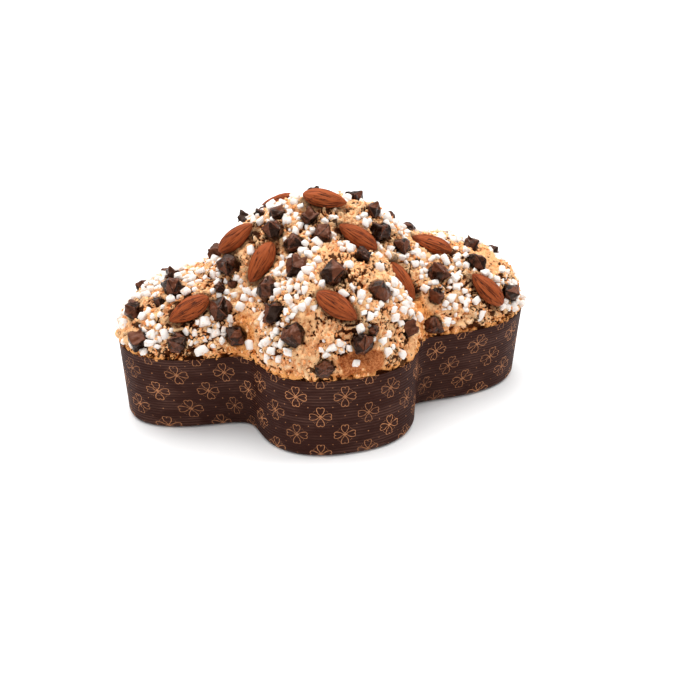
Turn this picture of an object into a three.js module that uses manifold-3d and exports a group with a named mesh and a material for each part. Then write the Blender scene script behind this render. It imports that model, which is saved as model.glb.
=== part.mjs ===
// A dove-shaped Easter cake, whole and uncut, standing in the paper case it was baked in.
// The case has four lobes: the head at -X, the tail at +X and a wing at each side. The cake
// fills it and rises above the rim in a dome, under a cracked glaze with pearl sugar, whole
// almonds and dark chocolate chunks. Millimetres, +Z up, the case standing on z = 0.

import * as THREE from 'three';
import { mergeVertices } from 'three/addons/utils/BufferGeometryUtils.js';
import Module from 'manifold-3d';

const wasm = await Module();
wasm.setup();

// ---- Driving sizes (mm, degrees) ----

const CASE_HEIGHT = 48;
const PAPER = 1;
const FOOT_ROUND = 3;
const GAP = 0.3;

// A lobe is a rounded block: its middle, half length along X, half width along Y, rise
// above the rim, how square it is in plan (2 is an ellipse), and how much its foot is drawn
// in from its rim along X and along Y.
const LOBES = [
  { name: 'head', x: -68, y: 0, a: 52, b: 38, rise: 36, square: 2.35, footA: 2.5, footB: 9 },
  { name: 'tail', x: 62.5, y: 0, a: 57.5, b: 46, rise: 39, square: 2.35, footA: 2.5, footB: 9 },
  { name: 'wing', x: -5, y: -38.5, a: 47, b: 42.5, rise: 56, square: 2.35, footA: 1.5, footB: 1.5 },
  { name: 'wing', x: -5, y: 38.5, a: 47, b: 42.5, rise: 56, square: 2.35, footA: 1.5, footB: 1.5 },
  { name: 'heart', x: -5, y: 0, a: 69, b: 38, rise: 73, square: 2, footA: 0, footB: 0 },
];
const HEART_X = -5;
const PUFF = 1.95;
const MELT = 4.2;
const WIDEST = 160;

const AROUND = 88;
const CRAG = 2;
const CRAG_PITCH = 9;

const ALMOND = { length: 25.2, width: 12.4, thick: 9.4, blunt: 0.85, round: 0.62, lift: 1.5 };
const CHUNK = { edge: 0.72, uneven: 0.3, tilt: 45, lift: 0.08 };

const GRAINS = 104;
const GRAIN_SPACING = 14.5;
const GRAIN_LARGE = 5.6;
const GRAIN_SMALL = 4.2;

// Where the toppings sit, seen from the middle of the case's mouth: bearing round +Z from
// +X, rise above the rim, and then the way an almond points or how wide a chunk is.
const ALMONDS = [
  [-162, 17, 191], [-148, 48, 202], [-174, 50, -12], [-60, 84, -20], [-53, 62, 158], [-95, 29, -30],
  [-38, 30, -49], [-7, 30, 145], [-22, 12, 150], [32, 26, 60], [96, 38, 175], [140, 22, 100],
];
const CHUNKS = [
  [-176, 11, 9.5], [178, 22, 9], [-173, 21, 10.5], [-155, 20, 11.5], [-167, 5, 10.5], [-159, 6, 9.5],
  [-146, 10, 11], [174, 38, 9.5], [-166, 39, 12], [-134, 36, 11.5], [-124, 26, 12], [-113, 18, 11.5],
  [-127, 62, 11], [-116, 47, 11], [-153, 64, 11], [-168, 71, 9], [-116, 77, 10], [-94, 68, 10.5],
  [-95, 42, 14], [-71, 49, 9.5], [-73, 32, 11], [-86, 14, 10.5], [-63, 14, 10], [-101, 6, 9],
  [-10, 63, 9], [-26, 56, 12], [-21, 43, 9.5], [-24, 24, 11.5], [-2, 20, 10], [-14, 19, 10.5],
  [-16, 7, 10], [-33, 17, 9], [-39, 6, 10], [12, 34, 10], [24, 12, 11], [50, 14, 10],
  [62, 40, 11], [76, 58, 10], [80, 20, 12], [98, 8, 10], [112, 26, 11], [122, 52, 11],
  [128, 11, 10], [150, 40, 10], [158, 12, 11], [20, 68, 10],
];
const CHIPS = [
  [171, 13, 7.5], [168, 18, 7.5], [-171, 16, 5], [-162, 28, 6], [-160, 32, 5], [170, 64, 7],
  [-81, 18, 5.5], [4, 12, 7.5], [80, 82, 8], [6, 50, 7.5], [10, 42, 7], [36, 42, 7], [90, 30, 6],
  [140, 62, 7], [104, 66, 6], [134, 34, 6],
];

// ---- Seeded chance and a smooth random field ----

function chance(seed) {
  let state = seed;
  return () => {
    state = (state * 48271) % 2147483647;
    return state / 2147483647;
  };
}

function latticeValue(i, j, k) {
  const wave = Math.sin(i * 127.1 + j * 311.7 + k * 74.7) * 43758.5453;
  return 2 * (wave - Math.floor(wave)) - 1;
}

function smoothNoise(point, pitch) {
  const cell = point.clone().divideScalar(pitch).floor();
  const part = point.clone().divideScalar(pitch).sub(cell);
  let sum = 0;
  for (let corner = 0; corner < 8; corner++) {
    const step = [corner & 1, (corner >> 1) & 1, corner >> 2];
    const weight = ['x', 'y', 'z'].map((axis, n) => {
      const eased = part[axis] * part[axis] * (3 - 2 * part[axis]);
      return step[n] ? eased : 1 - eased;
    });
    const value = latticeValue(cell.x + step[0], cell.y + step[1], cell.z + step[2]);
    sum += value * weight[0] * weight[1] * weight[2];
  }
  return sum;
}

// ---- The four-lobed form: one field gives the case's outline and the dome ----

const FOOT_LOBES = LOBES.map((lobe) => ({ ...lobe, a: lobe.a - lobe.footA, b: lobe.b - lobe.footB }));

function lobeDepth(lobe, x, y, z) {
  const along = Math.abs((x - lobe.x) / lobe.a) ** lobe.square;
  const across = Math.abs((y - lobe.y) / lobe.b) ** lobe.square;
  const plan = (along + across) ** (1 / lobe.square);
  const size = (plan ** PUFF + Math.abs(z / lobe.rise) ** PUFF) ** (1 / PUFF);
  return (size - 1) * Math.min(lobe.a, lobe.b);
}

// Below 0 inside; the lobes melt into each other like rising dough. z counts from the rim.
function formDepth(lobes, x, y, z) {
  let sum = 0;
  for (const lobe of lobes) {
    sum += Math.exp(-lobeDepth(lobe, x, y, z) / MELT);
  }
  return -MELT * Math.log(sum);
}

function direction(bearing, rise) {
  const flat = Math.cos(rise);
  return new THREE.Vector3(flat * Math.cos(bearing), flat * Math.sin(bearing), Math.sin(rise));
}

// How far the form reaches from the middle of the case's mouth, looking from outside in.
function reach(lobes, way) {
  const depthAt = (far) => formDepth(lobes, HEART_X + far * way.x, far * way.y, far * way.z);
  let inside = WIDEST;
  while (depthAt(inside) > 0) {
    inside -= 3;
  }
  let outside = inside + 3;
  for (let halving = 0; halving < 14; halving++) {
    const middle = (inside + outside) / 2;
    if (depthAt(middle) > 0) {
      outside = middle;
    } else {
      inside = middle;
    }
  }
  return (inside + outside) / 2;
}

// Bearings that fall at even steps along the rim, however the lobes bend.
function evenBearings() {
  const steps = 1440;
  const rim = [];
  const length = [0];
  for (let i = 0; i <= steps; i++) {
    const way = direction((2 * Math.PI * i) / steps, 0);
    rim.push(way.multiplyScalar(reach(LOBES, way)));
    if (i > 0) {
      length.push(length[i - 1] + rim[i].distanceTo(rim[i - 1]));
    }
  }
  return (part) => {
    const target = part * length[steps];
    let i = 1;
    while (i < steps && length[i] < target) {
      i++;
    }
    const between = (target - length[i - 1]) / (length[i] - length[i - 1]);
    return (2 * Math.PI * (i - 1 + between)) / steps;
  };
}

const bearingAt = evenBearings();

// ---- The case's outline at any height, set in by any amount ----

function outline(lobes) {
  const points = [];
  for (let j = 0; j < AROUND; j++) {
    const way = direction(bearingAt(j / AROUND), 0);
    way.multiplyScalar(reach(lobes, way));
    points.push(new THREE.Vector3(way.x + HEART_X, way.y, 0));
  }
  return points;
}

const RIM = outline(LOBES);
const FOOT = outline(FOOT_LOBES);

function level(height, inset) {
  const points = RIM.map((rim, j) => FOOT[j].clone().lerp(rim, height / CASE_HEIGHT));
  return points.map((point, j) => {
    const along = points[(j + 1) % AROUND].clone().sub(points[(j + AROUND - 1) % AROUND]).normalize();
    return new THREE.Vector3(point.x - along.y * inset, point.y + along.x * inset, height);
  });
}

// The rounded foot edge at a distance inside the case's outer face, from wall to base.
function footEdge(inside) {
  const round = FOOT_ROUND - inside;
  const half = round * Math.SQRT1_2;
  return [
    level(FOOT_ROUND, inside),
    level(FOOT_ROUND - half, FOOT_ROUND - half),
    level(inside, FOOT_ROUND),
  ];
}

// ---- Closed meshes from rings of points ----

// Joins each ring to the next. Rings of the same size are joined by quads, a single point is
// a fan, and a dome's rings shrink by four points at a time, one in each quarter.
function skin(rings) {
  const positions = [];
  const starts = [];
  for (const ring of rings) {
    starts.push(positions.length / 3);
    ring.forEach((point) => positions.push(point.x, point.y, point.z));
  }
  const faces = [];
  for (let r = 0; r + 1 < rings.length; r++) {
    const low = rings[r].length;
    const high = rings[r + 1].length;
    if (low === high) {
      joinEqual(faces, starts[r], starts[r + 1], low, rings[r + 1][0].z < rings[r][0].z);
    } else if (low === 1) {
      fanOut(faces, starts[r], starts[r + 1], high);
    } else if (high === 1) {
      fanIn(faces, starts[r], starts[r + 1], low);
    } else {
      joinQuarters(faces, starts[r], starts[r + 1], low, high);
    }
  }
  const geometry = new THREE.BufferGeometry();
  geometry.setAttribute('position', new THREE.Float32BufferAttribute(positions, 3));
  geometry.setIndex(faces);
  return geometry;
}

// The quads' diagonals lean the same way going up as going down, so that two walls made of
// the same rings stay level with each other.
function joinEqual(faces, low, high, count, goingDown) {
  for (let j = 0; j < count; j++) {
    const next = (j + 1) % count;
    if (goingDown) {
      faces.push(low + j, low + next, high + j);
      faces.push(low + next, high + next, high + j);
    } else {
      faces.push(low + j, low + next, high + next);
      faces.push(low + j, high + next, high + j);
    }
  }
}

function fanOut(faces, point, ring, count) {
  for (let j = 0; j < count; j++) {
    faces.push(point, ring + ((j + 1) % count), ring + j);
  }
}

function fanIn(faces, ring, point, count) {
  for (let j = 0; j < count; j++) {
    faces.push(ring + j, ring + ((j + 1) % count), point);
  }
}

function joinQuarters(faces, low, high, lowCount, highCount) {
  const side = lowCount / 4;
  for (let quarter = 0; quarter < 4; quarter++) {
    for (let k = 0; k < side; k++) {
      const here = low + quarter * side + k;
      const next = low + ((quarter * side + k + 1) % lowCount);
      const above = high + ((quarter * (side - 1) + k) % highCount);
      faces.push(here, next, above);
      if (k < side - 1) {
        faces.push(above, next, high + ((quarter * (side - 1) + k + 1) % highCount));
      }
    }
  }
}

// ---- Solids for joining and cutting ----

function weld(geometry) {
  const bare = geometry.clone();
  bare.deleteAttribute('normal');
  bare.deleteAttribute('uv');
  return mergeVertices(bare, 1e-4);
}

function toSolid(geometry) {
  const welded = weld(geometry);
  return new wasm.Manifold(new wasm.Mesh({
    numProp: 3,
    vertProperties: new Float32Array(welded.attributes.position.array),
    triVerts: new Uint32Array(welded.index.array),
  }));
}

function toGeometry(solid) {
  const mesh = solid.getMesh();
  const geometry = new THREE.BufferGeometry();
  geometry.setAttribute('position', new THREE.BufferAttribute(mesh.vertProperties, 3));
  geometry.setIndex(new THREE.BufferAttribute(mesh.triVerts, 1));
  return geometry;
}

function largestPiece(solid) {
  return solid.decompose().reduce((best, piece) => (piece.volume() > best.volume() ? piece : best));
}

function placedSolid(geometry, object) {
  return toSolid(geometry.clone().applyMatrix4(object.matrix));
}

// ---- Spots on the dome ----

// A point of the smooth dome, seen from the middle of the case's mouth.
function domePoint(bearing, rise) {
  const way = direction(bearing, rise);
  way.multiplyScalar(reach(LOBES, way));
  return new THREE.Vector3(way.x + HEART_X, way.y, way.z + CASE_HEIGHT);
}

// The crust's lumps, which fade out where it meets the paper.
function crag(point) {
  const lumps = smoothNoise(point, CRAG_PITCH) + 0.6 * smoothNoise(point, 0.45 * CRAG_PITCH);
  return CRAG * lumps * THREE.MathUtils.smoothstep(point.z - CASE_HEIGHT, 0, 8);
}

function crustPoint(bearing, rise) {
  const point = domePoint(bearing, rise);
  return point.addScaledVector(direction(bearing, rise), crag(point));
}

// Where a topping rests: a point of the crust, and the smooth dome's way out there.
function spotAt(bearing, rise) {
  const turn = THREE.MathUtils.degToRad(bearing);
  const climb = THREE.MathUtils.degToRad(rise);
  const smooth = domePoint(turn, climb);
  const slope = (dx, dy, dz) => {
    const z = smooth.z - CASE_HEIGHT;
    return formDepth(LOBES, smooth.x + dx, smooth.y + dy, z + dz)
      - formDepth(LOBES, smooth.x - dx, smooth.y - dy, z - dz);
  };
  const out = new THREE.Vector3(slope(0.1, 0, 0), slope(0, 0.1, 0), slope(0, 0, 0.1));
  return { point: crustPoint(turn, climb), out: out.normalize() };
}

// Sets an object on a spot: its Z runs out of the dome and its X has the given heading.
function standOn(object, spot, heading, lift) {
  const { point, out } = spot;
  const east = Math.cos(THREE.MathUtils.degToRad(heading));
  const north = Math.sin(THREE.MathUtils.degToRad(heading));
  const climb = -(out.x * east + out.y * north) / Math.max(out.z, 0.2);
  const along = new THREE.Vector3(east, north, climb);
  along.addScaledVector(out, -along.dot(out)).normalize();
  const side = out.clone().cross(along);
  object.quaternion.setFromRotationMatrix(new THREE.Matrix4().makeBasis(along, side, out));
  object.position.copy(point).addScaledVector(out, lift);
  object.updateMatrix();
  return object;
}

// ---- Whole almonds ----

// Round in section at first, blunt at -X and pointed at +X, then flattened to its true size.
function almondGeometry(grow) {
  const rings = 6;
  const profile = [];
  for (let i = 0; i <= rings; i++) {
    const part = (1 - Math.cos((Math.PI * i) / rings)) / 2;
    const radius = Math.max(0, Math.sin(Math.PI * part ** ALMOND.blunt)) ** ALMOND.round;
    profile.push(new THREE.Vector2(i === rings ? 0 : radius / 2, part - 0.5));
  }
  const geometry = weld(new THREE.LatheGeometry(profile, 10));
  geometry.rotateZ(-Math.PI / 2);
  return geometry.scale(ALMOND.length + grow, ALMOND.width + grow, ALMOND.thick + grow);
}

function almondAt([bearing, rise, heading]) {
  return standOn(new THREE.Object3D(), spotAt(bearing, rise), heading, ALMOND.lift);
}

// ---- Dark chocolate chunks and chips ----

// A broken block: each corner is moved and the whole is tilted by chance.
function chunkGeometry(size, seed) {
  const random = chance(seed);
  const moves = Array.from({ length: 24 }, () => CHUNK.uneven * (random() - 0.5));
  const edge = CHUNK.edge * size;
  const geometry = weld(new THREE.BoxGeometry(1, 1, 1));
  const corners = geometry.attributes.position;
  for (let i = 0; i < corners.count; i++) {
    const [x, y, z] = [corners.getX(i), corners.getY(i), corners.getZ(i)];
    const corner = 3 * ((x > 0) + 2 * (y > 0) + 4 * (z > 0));
    corners.setXYZ(i, x + moves[corner], y + moves[corner + 1], z + moves[corner + 2]);
  }
  const tilt = THREE.MathUtils.degToRad(CHUNK.tilt);
  geometry.rotateX(2 * tilt * (random() - 0.5));
  geometry.rotateY(2 * tilt * (random() - 0.5));
  return geometry.scale(edge, edge, edge);
}

function chunkAt([bearing, rise, size], index) {
  const turn = 47 * index;
  return standOn(new THREE.Object3D(), spotAt(bearing, rise), turn, CHUNK.lift * size);
}

// ---- Pearl sugar grains ----

function grainGeometry(size, random) {
  const geometry = weld(new THREE.IcosahedronGeometry(1, 0));
  const corners = geometry.attributes.position;
  for (let i = 0; i < corners.count; i++) {
    const swell = (0.85 + 0.3 * random()) * (size / 2);
    corners.setXYZ(i, corners.getX(i) * swell, corners.getY(i) * 0.86 * swell, corners.getZ(i) * 0.76 * swell);
  }
  return geometry;
}

// A topping keeps the grains off an oval round itself.
function covers(topping, point) {
  const seen = point.clone().applyMatrix4(topping.inverse);
  return (seen.x / topping.halfLength) ** 2 + (seen.y / topping.halfWidth) ** 2 < 1
    && Math.abs(seen.z) < topping.halfLength;
}

function keepOff(object, length, width) {
  const room = 0.5 * GRAIN_LARGE + GAP;
  return {
    inverse: object.matrix.clone().invert(),
    halfLength: length / 2 + room,
    halfWidth: width / 2 + room,
  };
}

// Grains fall at random over the dome; one stays where it is clear of the toppings and of
// every grain before it, and the largest come first.
function scatterGrains(toppings) {
  const random = chance(20260);
  const grains = [];
  while (grains.length < GRAINS) {
    const spot = spotAt(360 * random(), THREE.MathUtils.radToDeg(Math.asin(random())));
    const heading = 360 * random();
    const crowded = grains.some((grain) => grain.point.distanceTo(spot.point) < GRAIN_SPACING);
    const low = spot.point.z < CASE_HEIGHT + 7;
    if (!crowded && !low && !toppings.some((topping) => covers(topping, spot.point))) {
      const size = THREE.MathUtils.lerp(GRAIN_LARGE, GRAIN_SMALL, grains.length / GRAINS);
      grains.push({ ...spot, heading, size });
    }
  }
  return grains;
}

// ---- Paper case: a thin-walled tray that follows the four lobes ----

function paperCase() {
  const floorMiddle = (height) => [new THREE.Vector3(HEART_X, 0, height)];
  return skin([
    floorMiddle(0),
    ...footEdge(0).reverse(),
    level(CASE_HEIGHT, 0),
    level(CASE_HEIGHT, PAPER),
    ...footEdge(PAPER),
    floorMiddle(PAPER),
  ]);
}

// ---- Cake: crumb and crust, with its sugar and chips, all one body ----

function domeRing(count) {
  const rise = (Math.PI / 2) * (1 - count / AROUND);
  const ring = [];
  for (let j = 0; j < Math.max(count, 1); j++) {
    const bearing = count > 0 ? bearingAt(j / count) : 0;
    ring.push(crustPoint(bearing, rise));
  }
  return ring;
}

function crust() {
  const inside = PAPER + GAP;
  const rings = [
    [new THREE.Vector3(HEART_X, 0, inside)],
    ...footEdge(inside).reverse(),
    level(CASE_HEIGHT, inside),
  ];
  for (let count = AROUND - 4; count >= 0; count -= 4) {
    rings.push(domeRing(count));
  }
  return skin(rings);
}

function cake(almonds, chunks) {
  const chips = CHIPS.map((row, i) => chunkAt(row, i + 5));
  const kept = [
    ...almonds.map((almond) => keepOff(almond, ALMOND.length, ALMOND.width)),
    ...chunks.map((chunk, i) => keepOff(chunk, CHUNKS[i][2], CHUNKS[i][2])),
    ...chips.map((chip, i) => keepOff(chip, CHIPS[i][2], CHIPS[i][2])),
  ];
  const random = chance(777);
  const added = scatterGrains(kept).map((grain) => {
    const place = standOn(new THREE.Object3D(), grain, grain.heading, 0.2 * grain.size);
    return placedSolid(grainGeometry(grain.size, random), place);
  });
  CHIPS.forEach((row, i) => added.push(placedSolid(chunkGeometry(row[2], 900 + i), chips[i])));
  const sockets = [
    ...almonds.map((almond) => placedSolid(almondGeometry(2 * GAP + 0.1), almond)),
    ...chunks.map((chunk, i) => placedSolid(chunkGeometry(CHUNKS[i][2] + 4 * GAP, 100 + i), chunk)),
  ];
  const whole = wasm.Manifold.union([toSolid(crust()), ...added]);
  return toGeometry(largestPiece(whole.subtract(wasm.Manifold.union(sockets))));
}

// ---- The whole object ----

function numbered(name, index) {
  return `${name}_${String(index + 1).padStart(2, '0')}`;
}

function colomba() {
  const group = new THREE.Group();
  const almonds = ALMONDS.map(almondAt);
  const chunks = CHUNKS.map(chunkAt);
  group.add(finish(paperCase(), 'paper_case', 0x3c2620, 0.7));
  group.add(finish(cake(almonds, chunks), 'cake', 0xdcb08c, 0.85));
  almonds.forEach((place, i) => {
    const mesh = finish(almondGeometry(0), numbered('almond', i), 0x94492a, 0.55);
    mesh.position.copy(place.position);
    mesh.quaternion.copy(place.quaternion);
    group.add(mesh);
  });
  chunks.forEach((place, i) => {
    const mesh = finish(chunkGeometry(CHUNKS[i][2], 100 + i), numbered('chocolate', i), 0x3a2320, 0.4);
    mesh.position.copy(place.position);
    mesh.quaternion.copy(place.quaternion);
    group.add(mesh);
  });
  return group;
}

function finish(geometry, name, color, roughness) {
  geometry.computeVertexNormals();
  const material = new THREE.MeshStandardMaterial({ color, roughness, metalness: 0 });
  const mesh = new THREE.Mesh(geometry, material);
  mesh.name = name;
  return mesh;
}

// The origin is the middle of the whole object's box, at the level it stands on.
function centred(group) {
  group.updateMatrixWorld(true);
  const box = new THREE.Box3().setFromObject(group, true);
  const middle = box.getCenter(new THREE.Vector3());
  group.position.set(-middle.x, -middle.y, -box.min.z);
  return new THREE.Group().add(group);
}

export default centred(colomba());
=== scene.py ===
import math

import bmesh
import bpy
import numpy as np
from mathutils import Matrix, Vector, noise


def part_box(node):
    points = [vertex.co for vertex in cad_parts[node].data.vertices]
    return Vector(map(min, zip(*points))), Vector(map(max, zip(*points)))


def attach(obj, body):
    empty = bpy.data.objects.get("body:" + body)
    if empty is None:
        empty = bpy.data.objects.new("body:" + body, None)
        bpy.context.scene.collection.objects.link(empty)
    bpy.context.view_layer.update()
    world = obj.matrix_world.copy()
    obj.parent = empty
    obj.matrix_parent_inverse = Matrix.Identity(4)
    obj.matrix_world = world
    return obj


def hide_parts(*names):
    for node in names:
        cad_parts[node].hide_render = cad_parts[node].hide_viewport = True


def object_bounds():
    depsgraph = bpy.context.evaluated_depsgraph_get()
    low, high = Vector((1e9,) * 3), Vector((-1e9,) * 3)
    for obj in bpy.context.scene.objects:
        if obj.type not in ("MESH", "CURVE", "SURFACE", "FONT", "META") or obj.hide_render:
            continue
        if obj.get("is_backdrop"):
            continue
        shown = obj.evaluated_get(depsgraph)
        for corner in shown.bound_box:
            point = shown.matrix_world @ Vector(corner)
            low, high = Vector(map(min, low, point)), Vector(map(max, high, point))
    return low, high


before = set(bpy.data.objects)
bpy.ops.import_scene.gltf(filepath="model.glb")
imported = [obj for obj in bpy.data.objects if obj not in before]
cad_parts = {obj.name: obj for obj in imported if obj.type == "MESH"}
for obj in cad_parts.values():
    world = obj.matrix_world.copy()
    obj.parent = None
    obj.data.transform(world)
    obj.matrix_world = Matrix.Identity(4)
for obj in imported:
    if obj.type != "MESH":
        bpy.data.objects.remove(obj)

cad_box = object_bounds()
# Sizes and places are in millimetres, save for the lamps' and the floor's, in metres.
MM = 0.001

# ---- Camera, floor and light ----
# The camera looks down on the cake from a little to the left of its front. The floor is plain
# and white, lit by a wide soft lamp overhead, a small one on the right and a white room.

# The paper case is even about the middle of the drawing, so its box gives the drawing's origin.
case_low, case_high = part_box("paper_case")
ORIGIN = np.array([(case_low.x + case_high.x) / 2, (case_low.y + case_high.y) / 2, 0]) / MM

CAMERA_RISE = math.radians(28.018)
CAMERA_TURN = math.radians(-15.644)
CAMERA_AWAY = 745.061
CAMERA_AIM = Vector((-5, 0, 0))
# The picture's side, the focal length and where the aimed-at point shows, in pixels.
PICTURE = 700
FOCAL_LENGTH = 1232.834
AIM_ACROSS, AIM_DOWN = 317.448, 385.486
FLOOR_HALF = 4


def look_at_cake():
    flat = math.cos(CAMERA_RISE)
    back = Vector((math.sin(CAMERA_TURN) * flat, -math.cos(CAMERA_TURN) * flat, math.sin(CAMERA_RISE)))
    right = Vector((math.cos(CAMERA_TURN), math.sin(CAMERA_TURN), 0))
    up = back.cross(right)
    aim = CAMERA_AIM + Vector(ORIGIN)
    aside = (AIM_ACROSS - PICTURE / 2) / FOCAL_LENGTH * CAMERA_AWAY
    above = (PICTURE / 2 - AIM_DOWN) / FOCAL_LENGTH * CAMERA_AWAY
    data = bpy.data.cameras.new("camera")
    data.lens = FOCAL_LENGTH / PICTURE * data.sensor_width
    data.clip_start = 0.02
    camera = bpy.data.objects.new("camera", data)
    place = Matrix((right, up, back)).transposed().to_4x4()
    place.translation = (aim - right * aside - up * above + back * CAMERA_AWAY) * MM
    camera.matrix_world = place
    bpy.context.scene.collection.objects.link(camera)
    bpy.context.scene.camera = camera


def soft_lamp(name, where, size, power):
    data = bpy.data.lights.new(name, "AREA")
    data.shape = "DISK"
    data.size = size
    data.energy = power
    lamp = bpy.data.objects.new(name, data)
    lamp.location = where
    lamp.rotation_euler = (Vector((0, 0, 0.05)) - Vector(where)).to_track_quat("-Z", "Y").to_euler()
    bpy.context.scene.collection.objects.link(lamp)


class Wire:
    """A node's output. Python expressions on wires add Math nodes."""

    def __init__(self, tree, socket):
        self.tree = tree
        self.socket = socket

    def beside(self, output):
        """Another output of the same node."""
        return Wire(self.tree, self.socket.node.outputs[output])

    def math(self, operation, *values):
        node = self.tree.nodes.new("ShaderNodeMath")
        node.operation = operation
        for slot, value in zip(node.inputs, values):
            plug(self.tree, slot, value)
        return Wire(self.tree, node.outputs[0])

    def __add__(self, other):
        return self.math("ADD", self, other)

    def __radd__(self, other):
        return self.math("ADD", other, self)

    def __sub__(self, other):
        return self.math("SUBTRACT", self, other)

    def __rsub__(self, other):
        return self.math("SUBTRACT", other, self)

    def __mul__(self, other):
        return self.math("MULTIPLY", self, other)

    def __rmul__(self, other):
        return self.math("MULTIPLY", other, self)

    def __truediv__(self, other):
        return self.math("DIVIDE", self, other)

    def __pow__(self, other):
        return self.math("POWER", self, other)

    def __abs__(self):
        return self.math("ABSOLUTE", self)

    def __round__(self):
        return self.math("ROUND", self)

    def least(self, other):
        return self.math("MINIMUM", self, other)

    def most(self, other):
        return self.math("MAXIMUM", self, other)


def plug(tree, slot, value):
    if isinstance(value, Wire):
        tree.links.new(value.socket, slot)
    else:
        slot.default_value = value


class Finish:
    """A material with one Principled shader, whose fixed values are set on the shader itself."""

    def __init__(self, name, **fixed):
        self.material = bpy.data.materials.new(name)
        self.material.use_nodes = True
        self.tree = self.material.node_tree
        self.tree.nodes.clear()
        self.shader = self.tree.nodes.new("ShaderNodeBsdfPrincipled")
        output = self.tree.nodes.new("ShaderNodeOutputMaterial")
        self.tree.links.new(self.shader.outputs[0], output.inputs["Surface"])
        for socket, value in fixed.items():
            self.shader.inputs[socket.replace("_", " ")].default_value = value

    def node(self, kind, settings=None, inputs=None, output=0):
        node = self.tree.nodes.new("ShaderNode" + kind)
        for key, value in (settings or {}).items():
            setattr(node, key, value)
        for key, value in (inputs or {}).items():
            plug(self.tree, node.inputs[key], value)
        return Wire(self.tree, node.outputs[output])

    def place(self):
        return self.node("TexCoord", output="Object")

    def attribute(self, name):
        return self.node("Attribute", {"attribute_name": name}, output="Fac")

    def grain(self, size, detail=3.0, rough=0.55, stretch=(1, 1, 1)):
        """Noise from 0 to 1 whose features are about this many millimetres wide."""
        at = self.node("Mapping", inputs={"Vector": self.place(), "Scale": stretch})
        inputs = {"Vector": at, "Scale": 1 / (size * MM), "Detail": detail, "Roughness": rough}
        return self.node("TexNoise", inputs=inputs)

    def ease(self, value, low, high):
        """0 below the low value, 1 above the high one, and smooth between."""
        inputs = {"Value": value, 1: low, 2: high}
        return self.node("MapRange", {"interpolation_type": "SMOOTHSTEP"}, inputs)

    def mix(self, share, first, second):
        """One colour over another. The node's colour sockets are its seventh and eighth."""
        inputs = {0: share, 6: first, 7: second}
        return self.node("Mix", {"data_type": "RGBA"}, inputs, output=2)

    def bump(self, height, strength, depth):
        inputs = {"Height": height, "Strength": strength, "Distance": depth * MM}
        plug(self.tree, self.shader.inputs["Normal"], self.node("Bump", inputs=inputs))

    def show(self, **varying):
        for socket, value in varying.items():
            plug(self.tree, self.shader.inputs[socket.replace("_", " ")], value)
        return self.material


def paint(red, green, blue):
    """A colour as a screen shows it, 0 to 255, in the linear values that a shader takes."""
    def linear(part):
        part = part / 255
        return part / 12.92 if part <= 0.04045 else ((part + 0.055) / 1.055) ** 2.4

    return (linear(red), linear(green), linear(blue), 1)


def add_object(name, shape, material, smooth=True):
    mesh = bpy.data.meshes.new(name)
    shape.to_mesh(mesh)
    shape.free()
    mesh.materials.append(material)
    if smooth:
        mesh.shade_smooth()
    piece = bpy.data.objects.new(name, mesh)
    bpy.context.scene.collection.objects.link(piece)
    return piece


def white_floor():
    finish = Finish("floor_white", Roughness=0.75, Specular_IOR_Level=0.1)
    tone = finish.mix(finish.grain(60), (0.9, 0.9, 0.9, 1), (0.92, 0.92, 0.92, 1))
    shape = bmesh.new()
    bmesh.ops.create_grid(shape, x_segments=8, y_segments=8, size=FLOOR_HALF)
    return add_object("floor", shape, finish.show(Base_Color=tone))


look_at_cake()
white_floor()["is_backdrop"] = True
soft_lamp("ceiling_lamp", (-0.25, 0.3, 1.2), 1.9, 26)
soft_lamp("right_lamp", (0.6, -0.1, 0.8), 0.3, 3)
room = bpy.data.worlds.new("white_room")
room.use_nodes = True
room.node_tree.nodes["Background"].inputs["Color"].default_value = (1, 1, 1, 1)
room.node_tree.nodes["Background"].inputs["Strength"].default_value = 0.71
bpy.context.scene.world = room
bpy.context.scene.view_settings.view_transform = "Standard"

# ---- Paper case ----
# A baking case of dark brown ribbed paper, a millimetre thick with its lining. The wall is
# one strip wound round four lobes and glued to a flat base, with a fine copper-coloured print.

# Each lobe: middle along X and Y, half length, half width, rise above the rim, squareness,
# and how much smaller its half length and half width are at the foot.
LOBES = [
    (-68, 0, 52, 38, 36, 2.35, 2.5, 9),
    (62.5, 0, 57.5, 46, 39, 2.35, 2.5, 9),
    (-5, -38.5, 47, 42.5, 56, 2.35, 1.5, 1.5),
    (-5, 38.5, 47, 42.5, 56, 2.35, 1.5, 1.5),
    (-5, 0, 69, 38, 73, 2, 0, 0),
]
FOOT_LOBES = [(x, y, a - da, b - db, rise, square, 0, 0) for x, y, a, b, rise, square, da, db in LOBES]
# How round the dome's sections are, and over how many millimetres the lobes run together.
PUFF = 1.95
MELT = 4.2
CASE_HEIGHT = 48
# The middle of the case's mouth, from which every bearing and rise is seen.
HEART = np.array([-5.0, 0, CASE_HEIGHT])
PAPER = 1.0
FOOT_ROUND = 3.0
RIB, RIB_DEPTH, ROWS_PER_RIB = 1.8, 0.4, 5
STEPS_AROUND = 400
# The print: how far apart its motifs and their rows are, where the first stands, and each
# motif's ring, petals, round lobes, dots between the petals and width of line.
MOTIF_PITCH, MOTIF_ROWS = 27.5, 24.0
FIRST_ACROSS, FIRST_UP = 4.2, 1.9
RING = 0.75
PETAL_END, PETAL_HALF = 4.9, 2.1
LOBE, LOBE_ALONG, LOBE_ASIDE = 1.1, 4.95, 1.0
PIP_ALONG, PIP_ASIDE = 3.9, 3.2
LINE_EDGE, LINE_MIDDLE = 0.27, 0.05


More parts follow.
